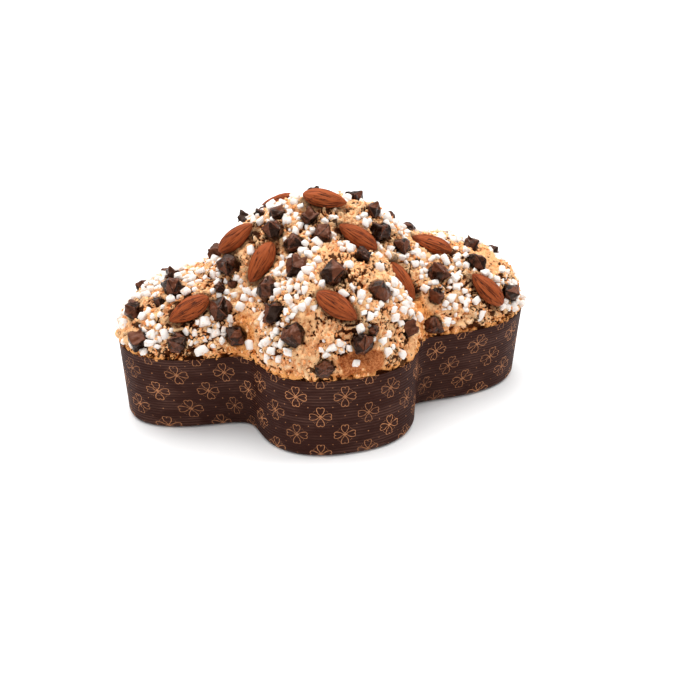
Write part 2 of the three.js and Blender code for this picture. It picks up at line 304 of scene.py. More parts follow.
def lobe_depths(lobes, place):
    """How deep each place lies in each lobe, below 0 inside. Heights count from the rim."""
    x, y, z = place[..., 0], place[..., 1], place[..., 2]
    depths = []
    for mx, my, a, b, rise, square, _, _ in lobes:
        plan = (np.abs((x - mx) / a) ** square + np.abs((y - my) / b) ** square) ** (PUFF / square)
        depths.append(((plan + np.abs(z / rise) ** PUFF) ** (1 / PUFF) - 1) * min(a, b))
    return np.stack(depths)


def form_depth(lobes, place):
    return -MELT * np.log(np.exp(-lobe_depths(lobes, place) / MELT).sum(0))


def reach(lobes, way):
    """How far the form goes from the middle of the mouth, looking from outside in."""
    farthest, stride = 160.0, 3

    def depth_at(far):
        return form_depth(lobes, far[..., None] * way + (HEART[0], 0, 0))

    inside = np.full(way.shape[:-1], farthest)
    outside = depth_at(inside) > 0
    while outside.any():
        inside = np.where(outside, inside - stride, inside)
        outside &= depth_at(inside) > 0
    outer = inside + stride
    for _ in range(14):
        middle = (inside + outer) / 2
        beyond = depth_at(middle) > 0
        outer = np.where(beyond, middle, outer)
        inside = np.where(beyond, inside, middle)
    return (inside + outer) / 2


def direction(bearing, rise):
    flat = np.cos(rise)
    return np.stack([flat * np.cos(bearing), flat * np.sin(bearing), np.sin(rise) + 0 * bearing], -1)


def outline(lobes, bearing):
    way = direction(bearing, 0 * bearing)
    return reach(lobes, way)[..., None] * way[..., :2] + HEART[:2]


round_steps = np.linspace(0, 2 * np.pi, 1441)
rim_steps = np.linalg.norm(np.diff(outline(LOBES, round_steps), axis=0), axis=1)
rim_length = np.concatenate([[0], np.cumsum(rim_steps)])
AROUND_RIM = float(rim_length[-1])


def bearing_at(part):
    """The bearing of a point that lies this part of the way along the rim."""
    return np.interp(part % 1 * AROUND_RIM, rim_length, round_steps)


def wall_point(part, height, inset):
    """A point of the case's wall, set in towards the cake."""
    nearby = 0.002

    def at(here):
        bearing = bearing_at(here)
        foot, rim = outline(FOOT_LOBES, bearing), outline(LOBES, bearing)
        return foot + (rim - foot) * (height / CASE_HEIGHT)[..., None]

    along = at(part + nearby) - at(part - nearby)
    along /= np.linalg.norm(along, axis=-1, keepdims=True)
    inward = np.stack([-along[..., 1], along[..., 0]], -1)
    flat = at(part) + inward * inset[..., None]
    return np.concatenate([flat, height[..., None]], -1)


def case_rows():
    """Rows of the case from the middle underneath, up the wall and down to the middle inside:
    height, distance inside the outer face, and share of the way to the middle."""
    rows = [(0, FOOT_ROUND, share) for share in (1, 0.66, 0.33, 0)]
    rows += [(0.88, 0.88, 0), (FOOT_ROUND, 0, 0)]
    for k in range(1, round((CASE_HEIGHT - FOOT_ROUND) / RIB) * ROWS_PER_RIB + 1):
        groove = RIB_DEPTH / 2 * (1 - math.cos(2 * math.pi * k / ROWS_PER_RIB))
        rows.append((FOOT_ROUND + k * RIB / ROWS_PER_RIB, groove, 0))
    # The cut edge on top, rounded over from the outer face to the inner one.
    below = CASE_HEIGHT - 0.15
    rows += [(below, 0.12, 0), (CASE_HEIGHT, 0.3, 0), (CASE_HEIGHT, 0.7, 0), (below, 0.95, 0)]
    rows += [(height, PAPER, 0) for height in (46, 40, 30, 20, 10, 3)]
    rows += [(1.6, 1.6, 0)] + [(PAPER, FOOT_ROUND, share) for share in (0, 0.33, 0.66, 1)]
    return rows


def place_verts(shape, places):
    """Moves a shape's corners to these places, given in millimetres from the drawing's origin."""
    for vert, place in zip(shape.verts, (places + ORIGIN) * MM):
        vert.co = place


def case_shape():
    rows = case_rows()
    shape = bmesh.new()
    bmesh.ops.create_grid(shape, x_segments=STEPS_AROUND, y_segments=len(rows) - 1, size=1)
    shape.verts.index_update()
    grid = np.array([vert.co[:2] for vert in shape.verts])
    part = (grid[:, 0] + 1) / 2
    row = np.rint((grid[:, 1] + 1) / 2 * (len(rows) - 1)).astype(int)
    height, inset, inwards = (np.array(rows, float)[row, k] for k in range(3))
    places = wall_point(part, height, inset)
    flat = places[:, :2]
    places[:, :2] = flat + (HEART[:2] - flat) * inwards[:, None]
    # The cut edge sways up and down a little on its way round.
    sway = np.sin(part * 2 * np.pi * 7 + 1) + 0.7 * np.sin(part * 2 * np.pi * 17)
    places[:, 2] += 0.12 * sway * np.clip((height - 20) / 28, 0, 1)
    strip = shape.loops.layers.uv.new("strip")
    for face in shape.faces:
        for loop in face.loops:
            k = loop.vert.index
            loop[strip].uv = (part[k] * AROUND_RIM, height[k])
    place_verts(shape, places)
    bmesh.ops.remove_doubles(shape, verts=shape.verts, dist=1e-6)
    bmesh.ops.recalc_face_normals(shape, faces=shape.faces)
    return shape


def distance(across, up):
    return (across * across + up * up) ** 0.5


def print_line(finish, across, up):
    """Four heart-shaped petals round a small ring, drawn as thin lines."""
    far, near = abs(across).most(abs(up)), abs(across).least(abs(up))
    # A petal's side swings out from the ring, and its end is a pair of round lobes. Past its
    # end each line's distance grows steeply, which hides it.
    steep = 9
    out = ((far - RING) / (PETAL_END - RING)).most(0).least(1)
    side = abs(near - out * (2 - out) * PETAL_HALF) * 0.85 + (far - PETAL_END).most(0) * steep
    lobe = abs(distance(far - LOBE_ALONG, near - LOBE_ASIDE) - LOBE) + (PETAL_END - far).most(0) * steep
    ring = abs(distance(far, near) - RING)
    pip = distance(far - PIP_ALONG, near - PIP_ASIDE)
    return finish.ease(side.least(lobe).least(ring).least(pip), LINE_EDGE, LINE_MIDDLE)


def case_finish():
    finish = Finish("dark_printed_paper", Specular_IOR_Level=0.08)
    strip = finish.node("UVMap", {"uv_map": "strip"})
    u = finish.node("SeparateXYZ", inputs={"Vector": strip})
    v = u.beside(1)
    # The motifs stand in two sets of rows, the second half a step along and half a row down.
    wide, high = AROUND_RIM / round(AROUND_RIM / MOTIF_PITCH), MOTIF_ROWS
    lines = 0
    for k in range(2):
        shift_u, shift_v = FIRST_ACROSS + k * wide / 2, FIRST_UP - k * high / 2
        cell_u, cell_v = round((u - shift_u) / wide), round((v - shift_v) / high)
        across, up = u - shift_u - cell_u * wide, v - shift_v - cell_v * high
        cell = finish.node("CombineXYZ", inputs={"X": cell_u, "Y": cell_v, "Z": shift_u + 0.5})
        strength = finish.node("TexWhiteNoise", inputs={"Vector": cell}) * 0.5 + 0.5
        motif = print_line(finish, across, up) * strength
        # Small dots lie between the motifs.
        aside, above = abs(across) - wide / 4, abs(up) - high / 4
        smaller_dot = (aside * aside + above * above + 0.02) ** 0.5
        dot = distance(across, abs(up) - high / 2).least(smaller_dot)
        lines = motif.most(finish.ease(dot, 0.45, 0.2) * 0.8).most(lines)
    worn = finish.grain(1.3, detail=2) * 0.7 + 0.55
    lines = (lines * worn).least(1)
    along_rib = (v - FOOT_ROUND) * (2 * math.pi / RIB)
    ridge = along_rib.math("COSINE", along_rib) * 0.5 + 0.5
    fibre = finish.grain(2.2, stretch=(1, 1, 5))
    paper = finish.mix(finish.grain(14), paint(46, 20, 14), paint(56, 28, 20))
    # Lighter lines along the rib crests, in patches, are a painted sheen.
    rib_sheen_patches = finish.ease(finish.grain(22, stretch=(1, 1, 3)), 0.44, 0.66)
    paper = finish.mix(ridge * fibre * rib_sheen_patches, paper, paint(98, 68, 58))
    colour = finish.mix(lines, paper, paint(206, 140, 96))
    finish.bump(finish.grain(0.7, stretch=(1, 1, 3)), 0.35, 0.12)
    return finish.show(Base_Color=colour, Roughness=fibre * 0.2 + 0.42)


case = add_object("ribbed_case", case_shape(), case_finish())
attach(case, "root")
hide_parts("paper_case")

# ---- Crumb and crust ----
# One loaf of sweet dough that fills the case and has risen out of it in a dome. Its almond
# glaze has baked to a pale, crumbly, cracked crust, with bare orange-brown dough in the folds.

# Bearing round +Z from +X and rise above the rim, both seen from the middle of the case's
# mouth, then the way an almond's tip points or how wide a piece of chocolate is.
ALMONDS = [
    (-162, 17, 191), (-148, 48, 202), (-174, 50, -12), (-60, 84, -20), (-53, 62, 158), (-95, 29, -30),
    (-38, 30, -49), (-7, 30, 145), (-22, 12, 150), (32, 26, 60), (96, 38, 175), (140, 22, 100),
]
CHUNKS = [
    (-176, 11, 9.5), (178, 22, 9), (-173, 21, 10.5), (-155, 20, 11.5), (-167, 5, 10.5), (-159, 6, 9.5),
    (-146, 10, 11), (174, 38, 9.5), (-166, 39, 12), (-134, 36, 11.5), (-124, 26, 12), (-113, 18, 11.5),
    (-127, 62, 11), (-116, 47, 11), (-153, 64, 11), (-168, 71, 9), (-116, 77, 10), (-94, 68, 10.5),
    (-95, 42, 14), (-71, 49, 9.5), (-73, 32, 11), (-86, 14, 10.5), (-63, 14, 10), (-101, 6, 9),
    (-10, 63, 9), (-26, 56, 12), (-21, 43, 9.5), (-24, 24, 11.5), (-2, 20, 10), (-14, 19, 10.5),
    (-16, 7, 10), (-33, 17, 9), (-39, 6, 10), (12, 34, 10), (24, 12, 11), (50, 14, 10),
    (62, 40, 11), (76, 58, 10), (80, 20, 12), (98, 8, 10), (112, 26, 11), (122, 52, 11),
    (128, 11, 10), (150, 40, 10), (158, 12, 11), (20, 68, 10),
]
CHIPS = [
    (171, 13, 7.5), (168, 18, 7.5), (-171, 16, 5), (-162, 28, 6), (-160, 32, 5), (170, 64, 7),
    (-81, 18, 5.5), (4, 12, 7.5), (80, 82, 8), (6, 50, 7.5), (10, 42, 7), (36, 42, 7), (90, 30, 6),
    (140, 62, 7), (104, 66, 6), (134, 34, 6),
]
ALMOND_SIZE = (25.2, 12.4, 9.4)
# The crust's net has this many faces along each side.
ACROSS = 296
CRAG_PITCH = 9
# How far apart the glaze's crumbs, its pits and its cracks are, and the lumps along the rim.
CRUMB_PITCH, PIT_PITCH, CRACK_PITCH, LUMP_PITCH = 2.3, 4.6, 7.5, 5.2
BAKED_PATCH, BAKED_SPREAD = (-1, -80, 58), (13, 10, 8)
# From the inside of the paper to the crumb.
PAPER_GAP = 0.3


def smooth_noise(places, pitch):
    """A soft random field of lumps about this many millimetres apart, from -1 to 1."""
    cell = np.floor(places / pitch)
    part = places / pitch - cell
    eased = part * part * (3 - 2 * part)
    total = 0
    for corner in range(8):
        step = np.array([corner & 1, corner >> 1 & 1, corner >> 2])
        i, j, k = np.moveaxis(cell + step, -1, 0)
        wave = np.sin(i * 127.1 + j * 311.7 + k * 74.7) * 43758.5453
        weight = np.where(step, eased, 1 - eased).prod(-1)
        total = total + (2 * (wave - np.floor(wave)) - 1) * weight
    return total


def ease(low, high, value):
    part = np.clip((value - low) / (high - low), 0, 1)
    return part * part * (3 - 2 * part)


def crag(places):
    """How far the risen crust stands out of the smooth dome."""
    lumps = smooth_noise(places, CRAG_PITCH) + 0.6 * smooth_noise(places, 0.45 * CRAG_PITCH)
    return 2 * lumps * ease(0, 8, places[..., 2] - CASE_HEIGHT)


def steepest(places):
    """The way straight out of the smooth dome."""
    risen = places - (0, 0, CASE_HEIGHT)
    steps = 0.1 * np.eye(3)
    slope = [form_depth(LOBES, risen + step) - form_depth(LOBES, risen - step) for step in steps]
    out = np.stack(slope, -1)
    return out / np.linalg.norm(out, axis=-1, keepdims=True)


def dome_point(bearing, rise):
    way = direction(bearing, rise)
    return way * reach(LOBES, way)[..., None] + HEART, way


def spots_at(bearing, rise):
    """Where toppings rest, in degrees as given: points of the crust, and the ways out there."""
    smooth, way = dome_point(np.radians(bearing), np.radians(rise))
    return smooth + way * crag(smooth)[..., None], steepest(smooth)


def stood_on(point, out, heading, lift):
    """A place on the crust for a topping: its Z runs out of the dome, its X has the heading."""
    east, north = math.cos(math.radians(heading)), math.sin(math.radians(heading))
    climb = -(out[0] * east + out[1] * north) / max(out[2], 0.2)
    along = np.array([east, north, climb])
    along -= out * along.dot(out)
    along /= np.linalg.norm(along)
    place = np.eye(4)
    place[:3, 0], place[:3, 1], place[:3, 2] = along, np.cross(out, along), out
    place[:3, 3] = point + out * lift
    return place


def topping_places(table, first=0):
    rows = np.array(table, float)
    points, outs = spots_at(rows[:, 0], rows[:, 1])
    places = []
    for k, (point, out) in enumerate(zip(points, outs)):
        if table is ALMONDS:
            places.append(stood_on(point, out, rows[k, 2], 1.5))
        else:
            places.append(stood_on(point, out, 47 * (k + first), 0.08 * rows[k, 2]))
    return places


almond_places = topping_places(ALMONDS)
chunk_places = topping_places(CHUNKS)
chip_places = topping_places(CHIPS, 5)


def settle(places):
    """Moves places in or out to the smooth dome."""
    for _ in range(3):
        risen = places - (0, 0, CASE_HEIGHT)
        places = places - steepest(places) * form_depth(LOBES, risen)[..., None]
    return places


def dome_net(across):
    """Evenly spread places on the smooth dome, as a square net of across + 1 rows."""
    coarse, rounds = 40, 60
    side = np.linspace(-1, 1, coarse + 1)
    x, y = np.meshgrid(side, side, indexing="ij")
    ring = np.maximum(abs(x), abs(y))
    turn = np.where(abs(x) >= abs(y), np.pi / 4 * y / np.where(x == 0, 1, x),
                    np.pi / 2 - np.pi / 4 * x / np.where(y == 0, 1, y))
    turn = turn + np.where(np.where(abs(x) >= abs(y), x, y) < 0, np.pi, 0)
    part = turn / (2 * np.pi)
    net, _ = dome_point(bearing_at(part), np.pi / 2 - 2 * np.arcsin(ring / math.sqrt(2)))
    for _ in range(rounds):
        middle = (net[2:, 1:-1] + net[:-2, 1:-1] + net[1:-1, 2:] + net[1:-1, :-2]) / 4
        net[1:-1, 1:-1] = settle(middle)
    fine = np.linspace(0, coarse, across + 1)
    low = np.minimum(fine.astype(int), coarse - 1)
    t = (fine - low)[:, None, None]
    net = net[low] * (1 - t) + net[low + 1] * t
    t = (fine - low)[None, :, None]
    net = net[:, low] * (1 - t) + net[:, low + 1] * t
    net[1:-1, 1:-1] = settle(net[1:-1, 1:-1])
    return net


noise.seed_set(5)  # without a seed, noise_vector is different at every run


def cell_distances(places, pitch, warp):
    """Distances to the nearest and the second nearest of scattered points, in pitches. The
    warp makes the cells between them crooked."""
    found = np.empty((len(places), 2))
    for k, place in enumerate(places / pitch):
        at = Vector(place)
        at += warp * noise.noise_vector(at * 1.7)
        found[k] = noise.voronoi(at)[0][:2]
    return found[:, 0], found[:, 1]


def crinkle(places, pitch, octaves):
    """Rounded lumps with sharp creases between them, from 0 to about 1."""
    options = {"noise_basis": "PERLIN_ORIGINAL", "amplitude_scale": 0.55, "frequency_scale": 2.1}
    heights = [noise.turbulence(Vector(place), octaves, True, **options) for place in places / pitch]
    return np.array(heights)


def crust_relief(places):
    """Height of the crust's fine relief in millimetres, and how bare of glaze, cracked, pitted
    and scorched each place is."""
    deep = np.sort(lobe_depths(LOBES[:4], places - (0, 0, CASE_HEIGHT)), axis=0)
    above = places[:, 2] - CASE_HEIGHT
    fold = 1 - ease(3, 15, deep[1] - deep[0] + 2 * smooth_noise(places + 23, 7))
    wander = smooth_noise(places + 40, 13)
    bare = fold * (1 - ease(16, 34, above + 6 * wander)) + (1 - ease(1, 8 + 6 * wander, above)) * 0.8
    bare = np.clip(bare + 0.5 * ease(0.35, 0.7, smooth_noise(places + 90, 21)), 0, 1)
    rough = crinkle(places, 4.4, 3)
    rough = (rough - rough.mean()) / rough.std()
    near, _ = cell_distances(places + 7, CRUMB_PITCH, 0.4)
    crumbs = 1 - np.clip(near / 0.8, 0, 1) ** 2
    near, next_near = cell_distances(places + 31, CRACK_PITCH, 0.8)
    crack = (1 - ease(0.03, 0.16, next_near - near)) * ease(-0.25, 0.15, smooth_noise(places + 17, 12))
    near, _ = cell_distances(places + 57, PIT_PITCH, 0.6)
    pit = (1 - ease(0.16, 0.34, near)) * ease(-0.2, 0.1, smooth_noise(places + 61, 7))
    glazed = 1 - 0.55 * bare
    height = glazed * (0.6 * rough + (crumbs - 0.5) - 1.5 * crack - 2.0 * pit)
    # The lowest band has no glaze and has puffed up in small round lumps.
    near, _ = cell_distances(places + 83, LUMP_PITCH, 0.3)
    lump = np.sqrt(1 - np.clip(near / 0.66, 0, 1) ** 2)
    band = 1 - ease(3, 8, above + 4 * wander)
    height = height * (1 - 0.5 * band) + band * 3.4 * (lump - 0.45)
    # The gaps between the lumps join the pit mask, which only darkens the colour, as painted shade.
    pit = np.maximum(pit, 0.55 * band * ease(0.6, 1, 1 - lump))
    # On one wing a patch by the rim lost its glaze and baked darker.
    patch = np.linalg.norm((places - BAKED_PATCH) / BAKED_SPREAD, axis=1)
    baked = 1 - ease(0.7, 1.15, patch + 0.5 * smooth_noise(places, 5))
    height = height * (1 - 0.7 * baked)
    return height, np.maximum(bare, baked), crack * (1 - baked), pit * (1 - baked), baked


def press_toppings(places, out):
    """Sinks the crust under and closely round each topping, and says how close one is."""
    close = np.zeros(len(places))
    # Of each topping: its place, half length and half width, how deep its lower side goes,
    # how deep the ditch round it is, and how dark the crust is there.
    almond = (ALMOND_SIZE[0] / 2, ALMOND_SIZE[1] / 2, ALMOND_SIZE[2] / 2 + 0.1, 0.7, 0.75)
    toppings = [(place, *almond) for place in almond_places]
    for row, place in zip(CHUNKS + CHIPS, chunk_places + chip_places):
        toppings.append((place, 0.43 * row[2], 0.43 * row[2], 0.4 * row[2], 1.8, 1))
    for place, half_length, half_width, deep, ditch, dark in toppings:
        turn, middle = place[:3, :3], place[:3, 3]
        local = (places - middle) @ turn
        ring = np.hypot(local[:, 0] / half_length, local[:, 1] / half_width)
        here = (ring < 2) & (abs(local[:, 2]) < 14)
        inner = np.clip(ring, 0, 1)
        under = -deep * np.sqrt(1 - inner ** 2) - 0.35
        floor = np.where(ring < 1.04, np.minimum(local[:, 2], under), local[:, 2])
        margin = (ring >= 1.04) & (ring < 1.35)
        floor = np.where(margin, floor - ditch * (1 - ease(1.04, 1.35, ring)), floor)
        places = np.where(here[:, None], places + out * (floor - local[:, 2])[:, None], places)
        close = np.maximum(close, np.where(here, dark * (1 - ease(1.0, 1.4, ring)), 0))
    return places, close


def crust_places():
    """The crust's places with their relief, and the masks that its colours follow."""
    smooth = dome_net(ACROSS).reshape(-1, 3)
    way = smooth - HEART
    way /= np.linalg.norm(way, axis=1, keepdims=True)
    out = steepest(smooth)
    rough = smooth + way * crag(smooth)[:, None]
    height, bare, crack, pit, baked = crust_relief(rough)
    above = smooth[:, 2] - CASE_HEIGHT
    height *= ease(-2.5, 1.5, above)
    places = rough + out * height[:, None]
    # Its edge goes down inside the paper.
    tuck = (PAPER + PAPER_GAP) * (1 - ease(0, 6, above))
    sideways = out[:, :2] / np.linalg.norm(out[:, :2] + 1e-9, axis=1, keepdims=True)
    places[:, :2] -= sideways * tuck[:, None]
    places[:, 2] = np.maximum(places[:, 2], CASE_HEIGHT - 0.4)
    places, close = press_toppings(places, out)
    # The pit mask darkens the colour in cracks, pits and gaps, as painted shade.
    masks = {"relief": height, "bare": bare, "pit": np.maximum(crack, pit), "close": close, "baked": baked}
    return places, out, masks


crust_points, crust_outs, crust_masks = crust_places()


def crust_shape():
    shape = bmesh.new()
    bmesh.ops.create_grid(shape, x_segments=ACROSS, y_segments=ACROSS, size=1)
    grid = np.array([vert.co[:2] for vert in shape.verts])
    column = np.rint((grid + 1) / 2 * ACROSS).astype(int)
    which = column[:, 0] * (ACROSS + 1) + column[:, 1]
    layers = {name: shape.verts.layers.float.new(name) for name in crust_masks}
    place_verts(shape, crust_points[which])
    for name, layer in layers.items():
        for vert, value in zip(shape.verts, crust_masks[name][which]):
            vert[layer] = value
    # The rest of the loaf goes down inside the case to its base.
    border = [edge for edge in shape.edges if edge.is_boundary]
    crumb = PAPER + PAPER_GAP
    for height, inset in ((40, crumb), (20, crumb), (FOOT_ROUND, crumb), (crumb, FOOT_ROUND)):
        grown = bmesh.ops.extrude_edge_only(shape, edges=border)["geom"]
        verts = [item for item in grown if isinstance(item, bmesh.types.BMVert)]
        flat = np.array([vert.co[:2] for vert in verts]) / MM - ORIGIN[:2] - HEART[:2]
        bearing = np.arctan2(flat[:, 1], flat[:, 0]) % (2 * np.pi)
        part = np.interp(bearing, round_steps, rim_length) / AROUND_RIM
        places = wall_point(part, np.full(len(verts), height, float), np.full(len(verts), inset, float))
        for vert, place in zip(verts, (places + ORIGIN) * MM):
            vert.co = place
        border = [item for item in grown if isinstance(item, bmesh.types.BMEdge)]
    bmesh.ops.holes_fill(shape, edges=[edge for edge in shape.edges if edge.is_boundary], sides=0)
    bmesh.ops.recalc_face_normals(shape, faces=shape.faces)
    return shape


def crust_finish():
    finish = Finish("baked_glaze", Specular_IOR_Level=0.05)
    relief, bare = finish.attribute("relief"), finish.attribute("bare")
    pit, close = finish.attribute("pit"), finish.attribute("close")
    fine = finish.grain(1.1, detail=5, rough=0.7)
    crumble = finish.grain(2.6, detail=5, rough=0.66)
    blotch, patchy = finish.grain(9, detail=3), finish.grain(12, detail=2)
    height = relief + (fine - 0.5) * 4 + (crumble - 0.5) * 5
    # Lower places of the glaze are darker and more orange, partly the dough showing through and partly
    # painted shade.
    glaze = finish.mix(finish.ease(height, -1.9, 0.2), paint(218, 120, 58), paint(255, 205, 152))
    glaze = finish.mix(finish.ease(blotch, 0.5, 0.64) * 0.5, glaze, paint(240, 152, 90))
    # The highest places are paler, partly pale glaze and partly a painted highlight.
    glaze = finish.mix(finish.ease(height, 0.9, 2.2) * 0.6, glaze, paint(252, 230, 204))
    # On bare dough the lower places are darker too: painted shade.
    dough = finish.mix(finish.ease(height, -1.2, 0.8), paint(196, 108, 48), paint(250, 174, 104))
    colour = finish.mix(finish.ease(bare, 0.3, 0.8), glaze, dough)
    scorched = finish.mix(finish.ease(fine, 0.4, 0.6), paint(140, 64, 30), paint(196, 118, 74))
    colour = finish.mix(finish.attribute("baked") * 0.8, colour, scorched)
    # The deepest hollows of the relief are painted dark brown as shade.
    colour = finish.mix(finish.ease(height, -2.0, -2.8) * 0.9, colour, paint(80, 32, 11))
    # Dark holes are painted where the bump dips, as shade. Fine dark specks of the crust's own are added to
    # them.
    hole_shade_and_specks = finish.ease(crumble, 0.415, 0.39) * finish.ease(patchy, 0.4, 0.55)
    speck = finish.grain(1.5, detail=2, rough=0.4)
    hole_shade_and_specks = hole_shade_and_specks.most(finish.ease(speck, 0.34, 0.31) * finish.ease(blotch, 0.42, 0.5)) * (1 - bare * 0.6)
    colour = finish.mix(hole_shade_and_specks * 0.95, colour, paint(56, 20, 7))
    # Cracks, pits and the gaps between the rim's lumps are painted dark as shade.
    colour = finish.mix(finish.ease(pit + (fine - 0.5) * 0.8, 0.35, 0.5) * 0.9, colour, paint(50, 18, 6))
    shade = finish.ease(close + (fine - 0.5) * 1.6, 0.3, 0.75)
    colour = finish.mix(shade * 0.7, colour, paint(56, 22, 8))
    finish.bump(fine + crumble * 1.5, 0.9, 1.2)
    return finish.show(Base_Color=colour, Roughness=fine * 0.25 + 0.6)


crust = add_object("baked_crust", crust_shape(), crust_finish())
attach(crust, "root")
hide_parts("cake")

# ---- Almonds ----
# Twelve whole almonds in their brown skins, pressed into the wet glaze before baking. The
# skin has long shallow furrows that run together at the tip.


def merged(shapes):
    """One shape made of many."""
    whole = bmesh.new()
    for shape in shapes:
        part = bpy.data.meshes.new("part")
        shape.to_mesh(part)
        shape.free()
        whole.from_mesh(part)
        bpy.data.meshes.remove(part)
    return whole


def to_scene(place):
    """A place of the drawing as a transform in metres."""
    matrix = Matrix([list(row) for row in place])
    matrix.translation = (Vector(place[:3, 3]) + Vector(ORIGIN)) * MM
    return matrix @ Matrix.Scale(MM, 4)


def almond_shape(place, seed):
    """Half an almond's outline spun round its length, furrowed, with one end pointed."""
    shape = bmesh.new()
    rings, around = 26, 72
    profile = []
    for i in range(rings + 1):
        part = (1 - math.cos(math.pi * i / rings)) / 2
        radius = 0 if i == rings else max(0, math.sin(math.pi * part ** 0.85)) ** 0.62 / 2
        profile.append(shape.verts.new((part - 0.5, radius, 0)))
    edges = [shape.edges.new(pair) for pair in zip(profile, profile[1:])]
    bmesh.ops.spin(shape, geom=profile + edges, axis=(1, 0, 0), cent=(0, 0, 0), dvec=(0, 0, 0),
                   angle=2 * math.pi, steps=around, use_merge=True, use_duplicate=False)
    bmesh.ops.remove_doubles(shape, verts=shape.verts, dist=1e-5)
    bmesh.ops.recalc_face_normals(shape, faces=shape.faces)
    skin = shape.verts.layers.float_vector.new("skin")
    for vert in shape.verts:
        x, y, z = vert.co
        turn = math.atan2(z, y)
        sweep = Vector((math.cos(turn) * 3.4, math.sin(turn) * 3.4, x * 1.1 + seed * 7.3))
        groove = min(1, abs(noise.noise(sweep)) * 5)
        fade = 1 - min(1, abs(x * 2)) ** 4
        vert[skin] = (x + seed * 2, y, z)
        vert.co = (x * ALMOND_SIZE[0], y * ALMOND_SIZE[1], z * ALMOND_SIZE[2])
        vert.co += vert.normal * (0.4 * (groove - 0.8) * fade - 0.1)
    bmesh.ops.transform(shape, matrix=to_scene(place), verts=shape.verts)
    return shape


def almond_finish():
    finish = Finish("almond_skin", Specular_IOR_Level=0.1)
    skin = finish.node("Attribute", {"attribute_name": "skin"}, output="Vector")
    x = finish.node("SeparateXYZ", inputs={"Vector": skin})
    y, z = x.beside(1), x.beside(2)
    # The streaks run along the almond: they change quickly round it and slowly along it.
    girth = distance(y, z) + 0.002
    sweep = finish.node("CombineXYZ", inputs={"X": y / girth * 4.6, "Y": z / girth * 4.6, "Z": x * 1.5})
    streak = finish.node("TexNoise", inputs={"Vector": sweep, "Scale": 1, "Detail": 2.5, "Distortion": 0.3})
    ridge = finish.ease(abs(streak - 0.5), 0.0, 0.06)
    mottle = finish.grain(0.9, detail=4, rough=0.7)
    pale = finish.ease(ridge + (mottle - 0.5) * 1.2, 0.0, 0.9)
    colour = finish.mix(pale, paint(60, 22, 7), paint(152, 74, 36))
    colour = finish.mix(finish.ease(finish.grain(6), 0.45, 0.65) * 0.5, colour, paint(126, 54, 23))
    finish.bump(ridge + mottle * 0.5, 0.7, 0.35)
    return finish.show(Base_Color=colour, Roughness=mottle * 0.25 + 0.42)


almond_shapes = (almond_shape(place, k) for k, place in enumerate(almond_places))
almonds = add_object("whole_almonds", merged(almond_shapes), almond_finish())
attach(almonds, "root")
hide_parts(*[f"almond_{k + 1:02d}" for k in range(len(ALMONDS))])

# ---- Dark chocolate ----
# Broken blocks of dark chocolate, and smaller chips, set into the glaze. Baking has softened
# their edges, melted some to lumps and left them satin, with a slight bloom.


def lehmer(seed):
    state = seed
    while True:
        state = state * 48271 % 2147483647
        yield state / 2147483647


def chocolate_shape(size, seed, place, index):
    """A broken block: each corner is moved and the whole is tilted by chance. Most have a
    low peak on each side. One in three has melted to a lump."""
    shape = bmesh.new()
    bmesh.ops.create_cube(shape, size=1)
    dice = lehmer(seed)
    moves = [0.3 * (next(dice) - 0.5) for _ in range(24)]
    for vert in shape.verts:
        x, y, z = vert.co
        corner = 3 * ((x > 0) + 2 * (y > 0) + 4 * (z > 0))
        vert.co += Vector(moves[corner:corner + 3])
    tilt = math.radians(90)
    about_x = Matrix.Rotation(tilt * (next(dice) - 0.5), 4, "X")
    about_y = Matrix.Rotation(tilt * (next(dice) - 0.5), 4, "Y")
    turned = Matrix.Scale(0.72 * size, 4) @ about_y @ about_x
    bmesh.ops.transform(shape, matrix=turned, verts=shape.verts)
    melted = index % 3 == 1
    if not melted:
        bmesh.ops.poke(shape, faces=shape.faces[:], offset=0.11 * size)
        bmesh.ops.delete(shape, geom=shape.edges[:], context="EDGES_FACES")
        bmesh.ops.convex_hull(shape, input=shape.verts[:])
        inner = [vert for vert in shape.verts if not vert.link_faces]
        bmesh.ops.delete(shape, geom=inner, context="VERTS")
    bmesh.ops.bevel(shape, geom=shape.edges[:], offset=0.025 * size, offset_type="OFFSET", affect="EDGES",
                    segments=1, profile=0.5, material=-1, clamp_overlap=True)
    long_edges = [edge for edge in shape.edges if edge.calc_length() > 0.25 * size]
    bmesh.ops.subdivide_edges(shape, edges=long_edges, cuts=5 if melted else 3, use_grid_fill=True)
    bmesh.ops.triangulate(shape, faces=[face for face in shape.faces if len(face.verts) > 4])
    # Each facet is painted lighter or darker, varying from facet to facet and lighter still the more it
    # faces out of the crust: painted light and shade on the facets.
    facet_light_and_shade = shape.faces.layers.float.new("facet_light_and_shade")
    for face in shape.faces:
        wave = math.sin(face.normal.dot((5.1, 6.7, 4.3)) + 1.9 * index)
        face[facet_light_and_shade] = 0.5 + 0.35 * wave + 0.25 * face.normal.z
        face.smooth = melted
    lumpy = 0.2 if melted else 0.09
    for vert in shape.verts:
        lump = noise.noise(vert.co / (0.26 * size) + Vector((index * 3.1, 0, 0)))
        vert.co += vert.normal * lumpy * size * lump
    bmesh.ops.transform(shape, matrix=to_scene(place), verts=shape.verts)
    return shape


def chocolate_shapes():
    for k, (row, place) in enumerate(zip(CHUNKS, chunk_places)):
        yield chocolate_shape(row[2], 100 + k, place, k)
    for k, (row, place) in enumerate(zip(CHIPS, chip_places)):
        yield chocolate_shape(row[2], 900 + k, place, 50 + k)


